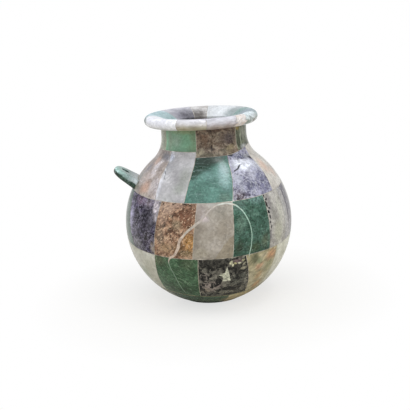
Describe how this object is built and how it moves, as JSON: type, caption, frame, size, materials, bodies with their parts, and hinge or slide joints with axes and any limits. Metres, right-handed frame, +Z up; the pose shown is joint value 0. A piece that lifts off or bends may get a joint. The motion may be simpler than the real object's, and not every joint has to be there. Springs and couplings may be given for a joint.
{
  "type": "ball vase",
  "caption": "Round-bellied vase turned from glued blocks of polished stone, with a short neck, a rolled lip, a low foot and a small pierced ear.",
  "frame": {"origin": "centre of the flat foot, on the vase's axis, in the plane that it stands on", "axes": "+Z up along the vase's axis, -Y towards the pictured front, so the ear points along -X"},
  "size_m": [0.157, 0.1498, 0.1682],
  "materials": {
    "white_quartz": "polished",
    "grey_quartz": "polished",
    "green_aventurine": "polished",
    "dark_aventurine": "polished",
    "dark_amethyst": "polished",
    "light_amethyst": "polished",
    "brown_jasper": "polished",
    "mauve_jasper": "polished",
    "tan_jasper": "polished",
    "olive_jasper": "polished",
    "cream_jasper": "polished",
    "pink_granite": "polished",
    "dendritic_agate": "polished",
    "banded_agate": "polished"
  },
  "bodies": {
    "root": {"base_plug": "white_quartz", "base_stone_01": "dark_aventurine", "base_stone_02": "tan_jasper", "base_stone_03": "grey_quartz", "base_stone_04": "dark_aventurine", "base_stone_05": "cream_jasper", "lower_stone_01": "cream_jasper", "lower_stone_02": "dark_aventurine", "lower_stone_03": "dendritic_agate", "lower_stone_04": "tan_jasper", "lower_stone_05": "cream_jasper", "lower_stone_06": "dark_amethyst", "lower_stone_07": "grey_quartz", "lower_stone_08": "olive_jasper", "lower_stone_09": "dark_amethyst", "lower_stone_10": "green_aventurine", "belly_stone_01": "green_aventurine", "belly_stone_02": "dark_amethyst", "belly_stone_03": "brown_jasper", "belly_stone_04": "grey_quartz", "belly_stone_05": "dark_aventurine", "belly_stone_06": "pink_granite", "belly_stone_07": "banded_agate", "belly_stone_08": "cream_jasper", "belly_stone_09": "green_aventurine", "belly_stone_10": "mauve_jasper", "belly_stone_11": "white_quartz", "belly_stone_12": "brown_jasper", "belly_stone_13": "light_amethyst", "shoulder_stone_01": "pink_granite", "shoulder_stone_02": "white_quartz", "shoulder_stone_03": "green_aventurine", "shoulder_stone_04": "light_amethyst", "shoulder_stone_05": "cream_jasper", "shoulder_stone_06": "dark_amethyst", "shoulder_stone_07": "tan_jasper", "shoulder_stone_08": "dark_aventurine", "shoulder_stone_09": "grey_quartz", "neck_stone_01": "green_aventurine", "neck_stone_02": "brown_jasper", "neck_stone_03": "olive_jasper", "neck_stone_04": "white_quartz", "neck_stone_05": "dark_amethyst", "neck_stone_06": "dark_aventurine", "neck_stone_07": "cream_jasper", "lip_stone_01": "white_quartz", "lip_stone_02": "tan_jasper", "lip_stone_03": "mauve_jasper", "lip_stone_04": "pink_granite", "lip_stone_05": "olive_jasper", "lip_stone_06": "green_aventurine", "lip_stone_07": "white_quartz", "lip_stone_08": "brown_jasper", "lip_stone_09": "light_amethyst", "lip_stone_10": "green_aventurine", "ear_lug": "green_aventurine"}
  },
  "joints": []
}
